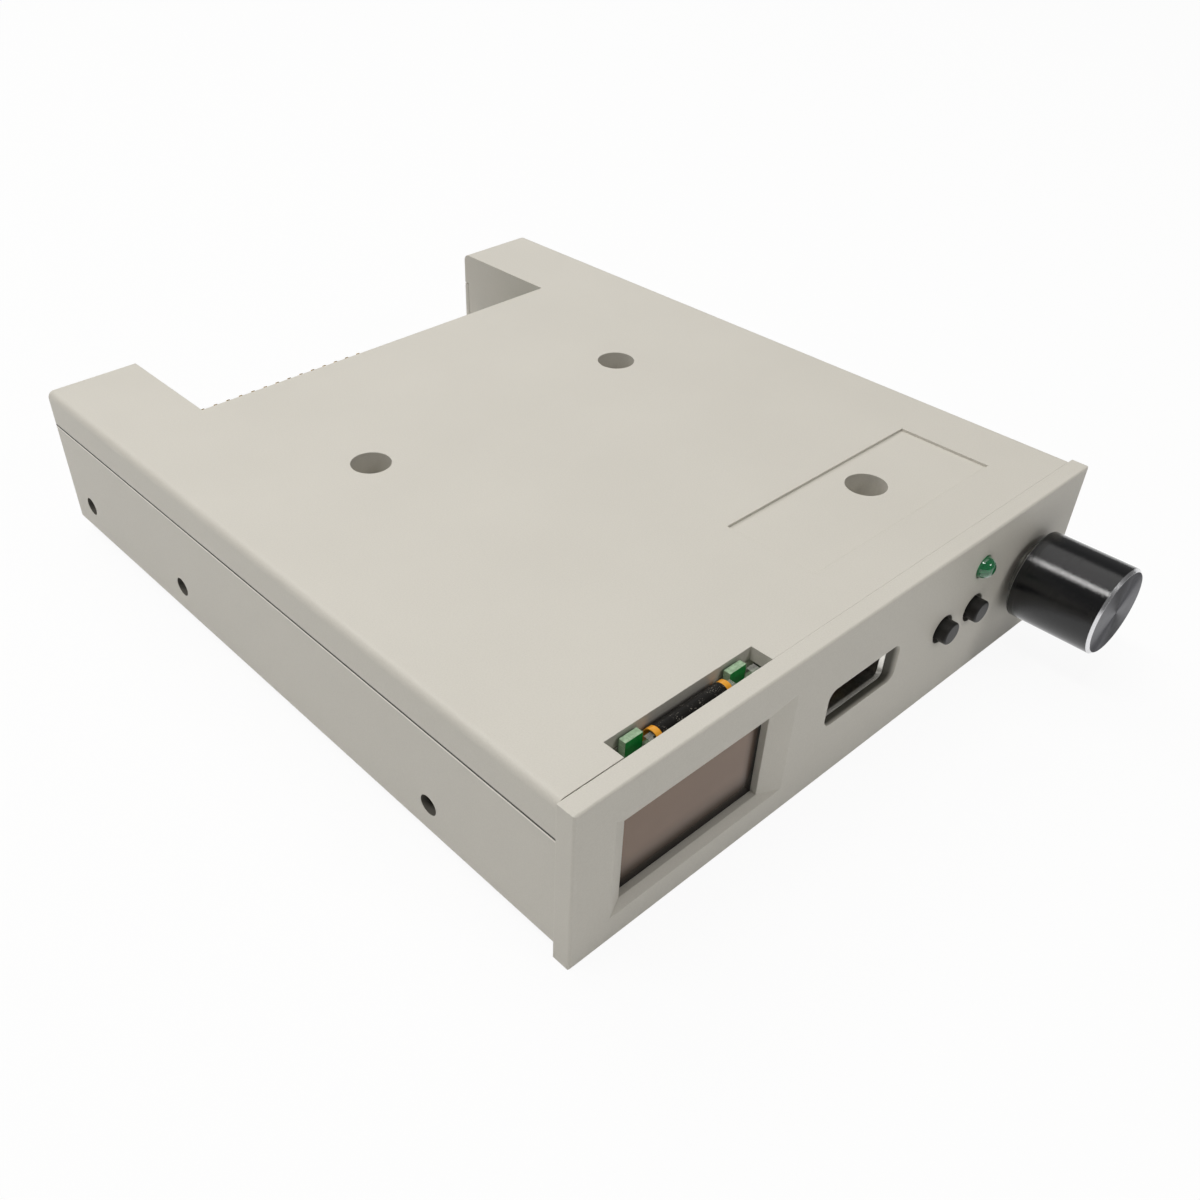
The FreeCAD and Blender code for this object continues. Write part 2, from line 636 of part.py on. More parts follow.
def knob_core():
    """The plastic insert pressed into the cap, with a D-shaped hole for the shaft."""
    front = KNOB_FRONT + 1.3
    core = rod(KNOB_X, KNOB_Z, front, -4.6, KNOB_RADIUS - KNOB_WALL)
    hole = rod(KNOB_X, KNOB_Z, SHAFT_FRONT - 0.1, -4, SHAFT_RADIUS)
    flat = block(KNOB_X - 4, KNOB_X + 4, SHAFT_FRONT - 2, -5.4, KNOB_Z + SHAFT_FLAT, KNOB_Z + 5)
    return core.cut(hole.cut(flat))


def display_window():
    x0, x1, z0, z1 = WINDOW_INNER
    lap = PANE_LAP - 0.1
    return block(x0 - lap, x1 + lap, PANE_Y, PANE_Y + PANE_THICKNESS, z0 - lap, z1 + lap)


def display_glass():
    """Two bonded glass plates, nearly as high as the board's ears and notched in front of these."""
    rear = block(-39.4, -17.9, 3.75, BOARD_Y - 0.05, 5.0, 24.25)
    front = block(-39.4, -17.9, 3.2, 3.75, 5.0, 24.2).cut(block(-35.6, -22.8, 3, 3.75, 23.75, 25))
    notches = [block(-40.0, -36.2, 3, 5, 22.0, 25), block(-22.1, -19.15, 3, 5, 22.0, 25)]
    return fused([rear, front]).cut(group(notches))


def display_board():
    back = BOARD_Y + BOARD_THICKNESS
    points = [(-42.0, 4.2), (-15.3, 4.2), (-15.3, 21.9), (-19.2, 21.9), (-19.2, EAR_TOP), (-22.0, EAR_TOP)]
    points += [(-22.0, 22.3), (-36.3, 22.3), (-36.3, EAR_TOP), (-39.0, EAR_TOP), (-39.0, 21.9)]
    points.append((-42.0, 21.9))
    corners = [Vector(x, BOARD_Y, z) for x, z in points]
    board = Part.Face(Part.makePolygon(corners + corners[:1])).extrude(Vector(0, back - BOARD_Y, 0))
    return board.cut(group([rod(x, 6.0, 4, back + 1, 0.5) for x in display_pins_x()]))


def display_pins_x():
    return [-32.46 + PIN_PITCH * k for k in range(4)]


def display_flex():
    """The flat cable: up from the panel's front, over the board's notch and down its back."""
    outer_y = (2.95, 5.75)
    sheet = 0.18
    bend = 1.35
    top = EAR_TOP - 0.05
    left, right = -35.35, -23.0
    outer = block(left, right, *outer_y, 19.4, top)
    outer = rounded(outer, bend, lambda m, d: d == "x" and m.z > top - 0.1)
    inner = block(left, right, outer_y[0] + sheet, outer_y[1] - sheet, 19.3, top - sheet)
    inner = rounded(inner, bend - sheet, lambda m, d: d == "x" and m.z > top - sheet - 0.1)
    strip = outer.cut(inner)
    return strip.cut(block(left - 1, right + 1, 2, 3.5, 19, 21.6))


def display_header():
    back = BOARD_Y + BOARD_THICKNESS
    xs = display_pins_x()
    body = block(xs[0] - 1.27, xs[-1] + 1.27, back, back + 2.5, 4.75, 7.25)
    pins = [rod(x, 6.0, 3.8, back + 4.2, 0.32) for x in xs]
    body = body.cut(group(pins))
    return body


def display_pins():
    back = BOARD_Y + BOARD_THICKNESS
    return group([rod(x, 6.0, BOARD_Y, back + 3.4, 0.32) for x in display_pins_x()])


def display_wires():
    start = BOARD_Y + BOARD_THICKNESS + 3.4
    wires = []
    for x in display_pins_x():
        rise = start + 0.9
        points = [(x, start, 6.0), (x, rise, 6.0), (x, rise, 12.0), (x, 14.0, 12.0), (x, 14.0, PCB_TOP)]
        wires.append(wire_run(points, 0.45, 0.8))
    return group(wires)


def stems(first, pitch, count, rows, back):
    """Where the pins of a header rise from the board, row after row."""
    places = []
    for row in range(len(rows)):
        places += [(first + pitch * k, back - 1.6 - PIN_PITCH * row) for k in range(count)]
    return places


def right_angle_pins(first, pitch, count, rows, back, tip, size):
    """Square pins that come out of the board, bend and point to the rear."""
    pins = []
    half = size / 2
    for k, (x, rise) in enumerate(stems(first, pitch, count, rows, back)):
        z = rows[k // count]
        flat = block(x - half, x + half, rise - half, tip, z - half, z + half)
        stem = block(x - half, x + half, rise - half, rise + half, PCB_TOP - 2.6, z + half)
        pin = flat.fuse(stem).removeSplitter()
        ends = [e for e in pin.Edges if e.BoundBox.YMin > tip - 0.01]
        pins.append(pin.makeChamfer(size * 0.22, ends))
    return pins


def header_body(header):
    """The moulded strip that holds a double row of pins, notched between its columns."""
    first, pitch, count = header[:3]
    back = header[4]
    depth = 2.5
    left = first - pitch / 2
    right = first + pitch * (count - 0.5)
    bar = block(left + 0.05, right - 0.05, back, back + depth, PCB_TOP + 0.02, 16.0)
    notches = []
    for k in range(1, count):
        x = left + pitch * k
        notches.append(block(x - 0.25, x + 0.25, back - 1, back + depth + 1, 15.45, 17))
    return bar.cut(group(notches)).cut(group(right_angle_pins(*header)))


def power_header_body():
    """A white moulding with a tongue under its pins and a low wall at each side."""
    first, pitch, count = POWER[:3]
    back, tip = POWER[4:6]
    left = first - 1.3
    right = first + pitch * (count - 1) + 1.3
    base = PCB_TOP + 0.02
    face = back + 3.5
    stand = block(left, right, back, face, base, 15.8)
    tongue = block(left, right, face - 1, tip, base, base + 1.3)
    ribs = [block(x, x + 0.9, face - 1, tip - 1, base + 1, 12.2) for x in (left, right - 0.9)]
    return fused([stand, tongue] + ribs).cut(group(right_angle_pins(*POWER)))


def jumper_caps():
    caps = []
    for column in (1, 4):
        x = JUMPER[0] + PIN_PITCH * column
        cap = block(x - 1.15, x + 1.15, 112.6, 117.3, 10.7, 15.3)
        cap = rounded(cap, 0.3, lambda m, d: d == "y")
        holes = [rod(x, z, 112, 118.5, 0.46) for z in ROWS]
        caps.append(cap.cut(holes[0]).cut(holes[1]))
    return group(caps)


def microcontroller():
    chip = block(-3.5, 3.5, 51.5, 58.5, PCB_TOP + 0.1, PCB_TOP + 1.5)
    chip = rounded(chip, 0.2, lambda m, d: m.z > PCB_TOP + 1.4)
    return chip.cut(post(-2.6, 57.6, PCB_TOP + 1.4, PCB_TOP + 2, 0.4))


def microcontroller_leads():
    leads = []
    heights = (PCB_TOP + 0.01, PCB_TOP + 0.6)
    for k in range(12):
        low = -2.86 + 0.5 * k
        high = low + 0.22
        for near, far in ((-4.5, -3.5), (3.5, 4.5)):
            leads.append(block(near, far, 55 + low, 55 + high, *heights))
            leads.append(block(low, high, 55 + near, 55 + far, *heights))
    return group(leads)


def crystal():
    can = block(9, 19.5, 47, 51.6, PCB_TOP + 0.5, PCB_TOP + 3.8)
    can = rounded(can, 1.6, lambda m, d: d == "z")
    rim = rounded(block(8.6, 19.9, 46.6, 52.0, PCB_TOP + 0.1, PCB_TOP + 0.6), 1.8, lambda m, d: d == "z")
    return fused([can, rim])


def regulator():
    body = block(-22.2, -15.8, 88, 91.5, PCB_TOP + 0.1, PCB_TOP + 1.7)
    heights = (PCB_TOP + 0.02, PCB_TOP + 0.4)
    legs = [block(x, x + 0.7, 86.2, 88.1, *heights) for x in (-21.65, -19.35, -17.05)]
    tab = block(-20.5, -17.5, 91.4, 93.2, *heights)
    return fused([body, tab] + legs)


def chips(places, length, width, height):
    return group([block(x, x + length, y, y + width, PCB_TOP + 0.01, PCB_TOP + height) for x, y in places])


def capacitors():
    places = [(-10, 48), (-10, 62), (6, 48), (6, 62), (-14, 90), (-27, 90), (12, 56), (17, 56)]
    return chips(places, 2.0, 1.25, 1.1)


def resistors():
    places = [(-30 + 4 * k, 102) for k in range(9)] + [(12, 10), (14.5, 10), (29, 27), (29, 30)]
    return chips(places, 1.6, 0.8, 0.45)


def nodes():
    return {
        "base_case": base_case(),
        "lid": lid(),
        "case_screws": case_screws(),
        "main_board": main_board(),
        "usb_shell": usb_shell(),
        "usb_insulator": usb_insulator(),
        "usb_contacts": usb_contacts(),
        "left_switch_body": switch_body(BUTTONS_X[0]),
        "right_switch_body": switch_body(BUTTONS_X[1]),
        "left_button": button(BUTTONS_X[0]),
        "right_button": button(BUTTONS_X[1]),
        "switch_domes": switch_domes(),
        "switch_brackets": switch_brackets(),
        "switch_terminals": switch_terminals(),
        "led_lens": led_lens(),
        "led_leads": led_leads(),
        "encoder_bushing": encoder_bushing(),
        "encoder_washer": encoder_washer(),
        "encoder_nut": encoder_nut(),
        "encoder_housing": encoder_housing(),
        "encoder_frame": encoder_frame(),
        "encoder_rotor": encoder_rotor(),
        "encoder_shaft": encoder_shaft(),
        "encoder_plunger": encoder_plunger(),
        "encoder_terminals": encoder_terminals(),
        "encoder_wires": encoder_wires(),
        "knob": knob(),
        "knob_core": knob_core(),
        "display_window": display_window(),
        "display_glass": display_glass(),
        "display_board": display_board(),
        "display_flex": display_flex(),
        "display_header": display_header(),
        "display_pins": display_pins(),
        "display_wires": display_wires(),
        "floppy_header_body": header_body(FLOPPY),
        "floppy_header_pins": group(right_angle_pins(*FLOPPY)),
        "jumper_header_body": header_body(JUMPER),
        "jumper_header_pins": group(right_angle_pins(*JUMPER)),
        "jumper_caps": jumper_caps(),
        "power_header_body": power_header_body(),
        "power_header_pins": group(right_angle_pins(*POWER)),
        "microcontroller": microcontroller(),
        "microcontroller_leads": microcontroller_leads(),
        "crystal": crystal(),
        "regulator": regulator(),
        "capacitors": capacitors(),
        "resistors": resistors(),
    }


def place(shape):
    moved = shape.copy()
    moved.translate(Vector(0, BEZEL_FACE_Y, 0))
    return moved


os.makedirs("parts", exist_ok=True)
for name, shape in nodes().items():
    placed = place(shape)
    print(name, len(placed.Solids), placed.isValid(), round(placed.Volume, 2))
    placed.exportStep("parts/" + name + ".step")
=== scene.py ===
import math

import bpy
from mathutils import Matrix, Vector


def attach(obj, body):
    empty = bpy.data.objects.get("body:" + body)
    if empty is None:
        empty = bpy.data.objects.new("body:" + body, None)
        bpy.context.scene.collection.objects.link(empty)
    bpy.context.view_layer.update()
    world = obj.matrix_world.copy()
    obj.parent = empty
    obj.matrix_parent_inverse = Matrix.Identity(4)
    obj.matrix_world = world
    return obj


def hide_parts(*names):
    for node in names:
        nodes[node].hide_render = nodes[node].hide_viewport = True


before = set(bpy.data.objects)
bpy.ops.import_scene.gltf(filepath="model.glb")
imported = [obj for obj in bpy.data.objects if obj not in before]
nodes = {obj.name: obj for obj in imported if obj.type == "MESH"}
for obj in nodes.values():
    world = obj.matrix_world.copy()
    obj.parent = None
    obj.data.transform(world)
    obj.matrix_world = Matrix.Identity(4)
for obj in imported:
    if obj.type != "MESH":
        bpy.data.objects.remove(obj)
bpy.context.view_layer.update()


# The case: a bottom tray moulded in one piece with the bezel, and a lid that drops over it and is held by
# three screws at the foot of its deep wells. Both are warm grey ABS from a spark-eroded mould, so the skin
# is finely grained, and the corners have been rubbed a little lighter and smoother.
class Signal:
    """One output of a node, so that what a finish does with it reads as plain sums."""

    def __init__(self, tree, socket):
        self.tree = tree
        self.socket = socket

    def node(self, kind, settings=None, sockets=None, out=0):
        made = self.tree.nodes.new(kind)
        for name, value in (settings or {}).items():
            setattr(made, name, value)
        for name, value in (sockets or {}).items():
            if isinstance(value, Signal):
                self.tree.links.new(value.socket, made.inputs[name])
            else:
                made.inputs[name].default_value = value
        return Signal(self.tree, made.outputs[out])

    def sum(self, operation, *values):
        return self.node("ShaderNodeMath", {"operation": operation}, dict(enumerate(values)))

    def __add__(self, other):
        return self.sum("ADD", self, other)

    def __sub__(self, other):
        return self.sum("SUBTRACT", self, other)

    def __rsub__(self, other):
        return self.sum("SUBTRACT", other, self)

    def __mul__(self, other):
        return self.sum("MULTIPLY", self, other)

    def __lt__(self, other):
        return self.sum("LESS_THAN", self, other)

    def __gt__(self, other):
        return self.sum("GREATER_THAN", self, other)

    def __abs__(self):
        return self.sum("ABSOLUTE", self)

    __radd__ = __add__
    __rmul__ = __mul__

    def within(self, low, high):
        """1 between those two values and 0 elsewhere."""
        return (self > low) * (self < high)

    def step(self, low, high):
        """0 below low, 1 above high and a soft edge between; with low above high it runs the other way."""
        ends = {"From Min": low, "From Max": high, "Value": self}
        return self.node("ShaderNodeMapRange", {"interpolation_type": "SMOOTHSTEP"}, ends)

    def blend(self, first, second):
        """The first colour where the signal is 0 and the second where it is 1."""
        return self.node("ShaderNodeMix", {"data_type": "RGBA"}, {0: self, 6: first, 7: second}, 2)

    def noise(self, size, detail=2.0):
        """Clouds with lumps of that size in metres, read at this place."""
        return self.node("ShaderNodeTexNoise", None, {"Vector": self, "Scale": 1.0 / size, "Detail": detail})

    def stretched(self, x, y, z):
        """This place with its three distances scaled."""
        return self.node("ShaderNodeVectorMath", {"operation": "MULTIPLY"}, {0: self, 1: (x, y, z)})

    def along(self, axis):
        """One of the three distances of this place."""
        return self.node("ShaderNodeSeparateXYZ", None, {0: self}, axis)

    def into(self, shader, name):
        self.tree.links.new(self.socket, shader.inputs[name])


def seen(red, green, blue):
    """The shader's colour for one that is written as the eye sees it, from 0 to 255."""
    parts = [c / 255 for c in (red, green, blue)]
    parts = [c / 12.92 if c < 0.04045 else ((c + 0.055) / 1.055) ** 2.4 for c in parts]
    return (*parts, 1.0)


def shader_of(material):
    return material.node_tree.nodes["Principled BSDF"]


def place_on(material):
    """The place on the piece, in metres from the middle of the drive's footprint."""
    return Signal(material.node_tree, None).node("ShaderNodeTexCoord", out="Object")


def new_finish(name, **numbers):
    """A material, its shader and the place on the piece; numbers go to the shader's sockets."""
    material = bpy.data.materials.new(name)
    material.use_nodes = True
    shader = shader_of(material)
    for label, value in numbers.items():
        shader.inputs[label.replace("_", " ")].default_value = value
    return material, shader, place_on(material)


def relief(height, depth, edge=None):
    """The skin's normal for a height from 0 to 1 over that depth in metres, with edges softened by edge."""
    sockets = {"Height": height, "Distance": depth}
    if edge:
        sockets["Normal"] = height.node("ShaderNodeBevel", {"samples": 4}, {"Radius": edge})
    return height.node("ShaderNodeBump", None, sockets)


def on_edges(place, edge):
    """1 on the outer and inner edges of a piece and 0 on its flats."""
    soft = place.node("ShaderNodeBevel", {"samples": 4}, {"Radius": edge})
    true = place.node("ShaderNodeNewGeometry", out="True Normal")
    alike = place.node("ShaderNodeVectorMath", {"operation": "DOT_PRODUCT"}, {0: soft, 1: true}, "Value")
    return (1 - alike).step(0.02, 0.2)


def put_on(material, *names):
    for name in names:
        for holder in nodes[name].material_slots:
            holder.material = material


def moulded(name, low, high, grain, rough, shine=0.5):
    """Moulded plastic between two colours, with a grain of that size, that roughness and that shine."""
    material, shader, place = new_finish(name, Specular_IOR_Level=shine)
    clouds = place.noise(0.02, 3.0)
    speckle = place.noise(grain, 1.0)
    tone = (clouds * 0.4 + speckle * 0.6).step(0.3, 0.7)
    worn = on_edges(place, edge=0.0003)
    colour = tone.blend(seen(*low), seen(*high))
    (worn * 0.25).blend(colour, seen(*[min(255, c + 22) for c in high])).into(shader, "Base Color")
    (rough + 0.08 * (clouds - 0.5) - 0.1 * worn).into(shader, "Roughness")
    relief(speckle, depth=0.00002, edge=0.00012).into(shader, "Normal")
    return material


# The seam along the sides and the side holes are painted dark, as painted shade, and the tray's rim under the
# seam is painted pale, as a painted highlight.
BEZEL_REAR = -0.05148
SEAM_TOP, SEAM_FOOT, RIM_FOOT = 0.01988, 0.019545, 0.01926
SEAM_INNER, RIM_INNER = 0.0490, 0.0505
HOLES_ACROSS, HOLES_DEEP, HOLES_HIGH = (0.0440, 0.0506), (-0.0400, 0.0650), (0.0053, 0.0087)

case_skin = moulded("case plastic", (206, 202, 192), (211, 207, 197), grain=0.0002, rough=0.52)
case_shader = shader_of(case_skin)
plain = Signal(case_skin.node_tree, case_shader.inputs["Base Color"].links[0].from_socket)
across, deep, height = (place_on(case_skin).along(axis) for axis in range(3))
painted_seam_shade = height.within(SEAM_FOOT, SEAM_TOP) * (abs(across) > SEAM_INNER) * (deep > BEZEL_REAR)
painted_rim_highlight = height.within(RIM_FOOT, SEAM_FOOT) * (abs(across) > RIM_INNER) * (deep > BEZEL_REAR)
painted_hole_shade = abs(across).within(*HOLES_ACROSS) * deep.within(*HOLES_DEEP) * height.within(*HOLES_HIGH)
# Painted shade in the seam and the side holes, and a painted highlight on the tray's rim under the seam.
case_colour_with_painted_shade = (0.9 * painted_seam_shade).blend(painted_rim_highlight.blend(plain, seen(246, 241, 232)), seen(66, 63, 55))
case_colour_with_painted_shade = (0.9 * painted_hole_shade).blend(case_colour_with_painted_shade, seen(74, 71, 63))
case_colour_with_painted_shade.into(case_shader, "Base Color")
put_on(case_skin, "base_case", "lid")


# The display: a smoked pane behind the bevelled window, and behind it a bonded glass panel on a green
# board, whose two ears stand up in the slot of the lid. The pane is painted brown over the panel, a painted
# reflection of the pale floor, and fades to black beside and below that; the board is green on its broad
# faces and pale where it was cut.
PANEL_FOOT_FADE = (0.0050, 0.0104)
PANEL_RIGHT_FADE = (-0.0179, -0.0206)

pane_skin, shader, place = new_finish("smoked pane", IOR=1.5, Specular_IOR_Level=0.2)
haze = place.noise(0.006, 3.0)
# Painted reflection: the brown stands for the pale floor seen in the panel, and fades to black below and
# beside it.
painted_reflection = haze.blend(seen(128, 104, 86), seen(135, 111, 93))
panel = place.along(2).step(*PANEL_FOOT_FADE) * place.along(0).step(*PANEL_RIGHT_FADE)
panel.blend(seen(14, 12, 12), painted_reflection).into(shader, "Base Color")
(0.16 + 0.06 * haze).into(shader, "Roughness")
put_on(pane_skin, "display_window")

glass_skin, shader, place = new_finish("panel glass", IOR=1.5)
painted_top_sheen = place.node("ShaderNodeTexCoord", out="Normal").along(2).step(0.5, 0.6)
place.noise(0.004).blend(seen(212, 212, 203), seen(228, 228, 219)).into(shader, "Base Color")
(0.06 + 0.06 * place.noise(0.004)).into(shader, "Roughness")
# Painted sheen and glints: the pale glass is made more opaque on its upward faces and along its edges.
(0.08 + 0.17 * painted_top_sheen + 0.45 * on_edges(place, edge=0.00008)).into(shader, "Alpha")
put_on(glass_skin, "display_glass")


def masked_board(name, mask, bare, broad):
    """Board under green mask on its two broad faces, whose normals lie along that axis; bare elsewhere."""
    material, shader, place = new_finish(name, Specular_IOR_Level=0.3)
    weave = place.noise(0.0005, 2.0)
    fibres = place.stretched(1.0, 1.0, 4.0).noise(0.0004, 1.0)
    facing = abs(place.node("ShaderNodeTexCoord", out="Normal").along(broad))
    green = weave.step(0.3, 0.7).blend(seen(*mask), seen(*[c + 10 for c in mask]))
    pale = fibres.step(0.3, 0.7).blend(seen(*bare), seen(*[c + 26 for c in bare]))
    facing.step(0.5, 0.6).blend(pale, green).into(shader, "Base Color")
    (0.5 - 0.22 * facing + 0.1 * weave).into(shader, "Roughness")
    relief(weave, depth=0.00001, edge=0.0001).into(shader, "Normal")
    return material


put_on(masked_board("display board", (0, 136, 52), (136, 162, 130), broad=1), "display_board")


# The flat cable: a dark film that comes up from the glass, folds over the board's notch and goes down its
# back. Orange film shows at both its edges, the black cover between them stands a little proud, and faint
# specks of printing lie on it.
FLEX_LEFT, FLEX_RIGHT = -0.03535, -0.0230
FLEX_BAND = 0.00085
FLEX_FRONT, FLEX_BACK = -0.05115, -0.04878
FLEX_TOP = 0.02470
FLEX_FOOT, FLEX_END = 0.0217, 0.0194
FLEX_THICK = 0.00012
COVER_THICK = 0.00004
NEAR = 0.00001  # what lies this close to a plane counts as on it


def at_rest():
    """Leaves edit mode with nothing selected."""
    if bpy.context.object and bpy.context.object.mode == "EDIT":
        bpy.ops.object.mode_set(mode="OBJECT")
    bpy.ops.object.select_all(action="DESELECT")


def named(name):
    """Names the new piece and puts its place in its mesh."""
    piece = bpy.context.active_object
    piece.name = name
    piece.data.name = name
    bpy.ops.object.transform_apply()
    return piece


def open_piece(piece):
    at_rest()
    bpy.context.view_layer.objects.active = piece
    piece.select_set(True)


def pick(piece, wanted, kind="FACE"):
    """Edit mode with only those faces or edges selected for which wanted(middle, normal or way) is true."""
    open_piece(piece)
    mesh = piece.data
    for group in (mesh.vertices, mesh.edges, mesh.polygons):
        group.foreach_set("select", [False] * len(group))
    if kind == "FACE":
        for face in mesh.polygons:
            face.select = wanted(face.center, face.normal)
    else:
        for edge in mesh.edges:
            ends = [mesh.vertices[v].co for v in edge.vertices]
            edge.select = wanted((ends[0] + ends[1]) / 2, (ends[1] - ends[0]).normalized())
    bpy.ops.object.mode_set(mode="EDIT")
    bpy.ops.mesh.select_mode(type=kind)


def shift(x=0.0, y=0.0, z=0.0):
    bpy.ops.mesh.extrude_region_move(TRANSFORM_OT_translate={"value": (x, y, z)})


def modify(piece, kind, **settings):
    open_piece(piece)
    tool = piece.modifiers.new(kind, kind)
    for name, value in settings.items():
        setattr(tool, name, value)
    bpy.ops.object.modifier_apply(modifier=tool.name)


def smooth(piece, degrees=30):
    open_piece(piece)
    bpy.ops.object.shade_smooth_by_angle(angle=math.radians(degrees))
    at_rest()


def settle(piece, body, slot, materials, *replaced):
    """Gives a piece its finishes and its body, and hides the CAD nodes that it stands for."""
    for material in materials:
        piece.data.materials.append(material)
    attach(piece, body)
    if replaced:
        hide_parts(*replaced)


at_rest()
flex_mid = (FLEX_FRONT + FLEX_BACK) / 2
flex_round = (FLEX_BACK - FLEX_FRONT) / 2
flex_centre = (0, flex_mid, FLEX_TOP - flex_round)
bpy.ops.mesh.primitive_plane_add(size=1.0, rotation=(math.pi / 2, 0, 0), location=(
    (FLEX_LEFT + FLEX_RIGHT) / 2, FLEX_BACK, (FLEX_END + flex_centre[2]) / 2))
flex = bpy.context.active_object
flex.scale = (FLEX_RIGHT - FLEX_LEFT, flex_centre[2] - FLEX_END, 1)
flex = named("display_flex_film")
pick(flex, lambda middle, way: middle.z > flex_centre[2] - 0.0001 and abs(way.x) > 0.9, "EDGE")
bpy.ops.mesh.spin(steps=20, angle=-math.pi, center=flex_centre, axis=(1, 0, 0))
pick(flex, lambda middle, way: middle.y < flex_mid and middle.z < flex_centre[2] + 0.0001, "EDGE")
shift(z=FLEX_FOOT - flex_centre[2])
for cut in (FLEX_LEFT + FLEX_BAND, FLEX_RIGHT - FLEX_BAND):
    bpy.ops.mesh.select_all(action="SELECT")
    bpy.ops.mesh.bisect(plane_co=(cut, 0, 0), plane_no=(1, 0, 0))
bpy.ops.mesh.select_all(action="SELECT")
bpy.ops.mesh.normals_make_consistent(inside=False)
modify(flex, "SOLIDIFY", thickness=FLEX_THICK, offset=0)


def on_flex_outside(middle, normal):
    out = Vector((0, middle.y - flex_mid, max(0, middle.z - flex_centre[2])))
    between = FLEX_LEFT + FLEX_BAND < middle.x < FLEX_RIGHT - FLEX_BAND
    return between and abs(normal.x) < 0.5 and out.dot(normal) > 0.0003


pick(flex, on_flex_outside)
bpy.ops.mesh.extrude_region_shrink_fatten(TRANSFORM_OT_shrink_fatten={"value": COVER_THICK})
smooth(flex)
for face in flex.data.polygons:
    inner = FLEX_LEFT + FLEX_BAND - NEAR < face.center.x < FLEX_RIGHT - FLEX_BAND + NEAR
    face.material_index = 1 if inner else 0

orange_skin, shader, place = new_finish("orange film")
place.noise(0.0006).blend(seen(216, 142, 26), seen(234, 166, 44)).into(shader, "Base Color")
(0.28 + 0.12 * place.noise(0.0004)).into(shader, "Roughness")
cover_skin, shader, place = new_finish("black cable cover", Specular_IOR_Level=0.15)
weave = place.noise(0.00022, 2.0)
specks = place.noise(0.00016, 0.0).step(0.64, 0.70) * place.noise(0.0012, 1.0).step(0.48, 0.56)
film = weave.blend(seen(12, 11, 10), seen(27, 25, 22))
(0.7 * specks).blend(film, seen(116, 112, 104)).into(shader, "Base Color")
(0.42 + 0.1 * place.noise(0.0006)).into(shader, "Roughness")
relief(weave, depth=0.00001).into(shader, "Normal")
settle(flex, "case", "flex_film", (orange_skin, cover_skin), "display_flex")


# The USB socket: a nickel-plated steel shell with four sprung tongues, a black insulator and gold contacts,
# set back in the bezel. The other metal pieces are plated too: gold on the pins, tin on the legs, zinc on the
# screws and brackets.
RECESS_MIDDLE, RECESS_HALF = 0.0006, 0.0082
RECESS_HEIGHTS = (0.0097, 0.0163)
RECESS_FADE = (-0.0541, -0.0534)
LIP_DEPTH_FADE = (-0.05235, -0.05255)
LIP_HEIGHT_FADE = (0.0115, 0.0112)


def plated(name, colour, rough, streak=0.0004):
    material, shader, place = new_finish(name, Metallic=1.0)
    smear = place.noise(0.003, 3.0)
    lines = place.noise(streak, 1.0)
    tone = (0.6 * smear + 0.4 * lines).step(0.3, 0.7)
    tone.blend(seen(*[c * 0.88 for c in colour]), seen(*colour)).into(shader, "Base Color")
    (rough + 0.15 * (smear - 0.5)).into(shader, "Roughness")
    relief(lines, depth=0.000006, edge=0.00008).into(shader, "Normal")
    return material


# The recess round the shell is painted dark, as painted shade, and the shell's lower lip is made a pale
# non-metal so that it shows as a bright line, a painted highlight.
# Painted shade: the recess is painted darker the deeper it lies, towards the shell.
painted_recess_shade = (abs(across - RECESS_MIDDLE) < RECESS_HALF) * height.within(*RECESS_HEIGHTS)
painted_recess_shade = painted_recess_shade * deep.step(*RECESS_FADE)
(0.95 * painted_recess_shade).blend(case_colour_with_painted_shade, seen(78, 75, 65)).into(case_shader, "Base Color")

nickel_skin = plated("nickel plate", (236, 233, 226), rough=0.34)
place = place_on(nickel_skin)
# Painted highlight: the lower lip loses most of its metal, so that its pale colour shows as a bright line.
painted_lip_highlight = place.along(1).step(*LIP_DEPTH_FADE) * place.along(2).step(*LIP_HEIGHT_FADE)
(1 - 0.8 * painted_lip_highlight).into(shader_of(nickel_skin), "Metallic")
put_on(nickel_skin, "usb_shell", "crystal")
put_on(plated("gold plate", (232, 196, 112), rough=0.25),
       "usb_contacts", "display_pins", "floppy_header_pins", "jumper_header_pins")
tin_skin = plated("tin", (204, 204, 204), rough=0.35)
put_on(tin_skin, "switch_terminals", "led_leads", "encoder_terminals", "power_header_pins",
       "microcontroller_leads")
put_on(plated("zinc-plated steel", (190, 190, 192), rough=0.35),
       "case_screws", "switch_domes", "switch_brackets", "encoder_frame")
put_on(plated("dull nickel", (150, 148, 142), rough=0.45), "encoder_washer", "encoder_nut")
put_on(moulded("white nylon", (222, 219, 208), (232, 229, 220), grain=0.0003, rough=0.45),
       "power_header_body")


# The push buttons: dark grey moulded plungers of two upright switches on the main board. They stand out of
# round holes in the bezel, and a steel dome inside each switch pushes its plunger back out.
put_on(moulded("button plastic", (31, 30, 29), (38, 37, 35), grain=0.0002, rough=0.42, shine=0.25),
       "left_button", "right_button")


# The status light: a 3 mm LED. Its clear green resin holds a tinned cup with the chip in it and a post
# beside that, and a rim at its foot stops it in the bezel's hole.
LED_X, LED_Z = 0.0258, 0.01972
LED_RADIUS = 0.00159
LED_CENTRE_Y = -0.05415
LED_FOOT_Y = -0.050245
LED_RIM_RADIUS, LED_RIM_THICK = 0.0021, 0.001
CUP_RADIUS, CUP_LIP, CUP_SLOPE, CUP_DEEP = 0.0007, 0.00008, 0.0003, 0.0004
CUP_FRONT, CUP_X = LED_CENTRE_Y + 0.0006, LED_X + 0.0004
POST_RADIUS, POST_TIP = 0.0002, 0.00006
POST_FRONT, POST_X = LED_CENTRE_Y + 0.0007, LED_X - 0.0008
METAL_BACK = LED_FOOT_Y - 0.0004

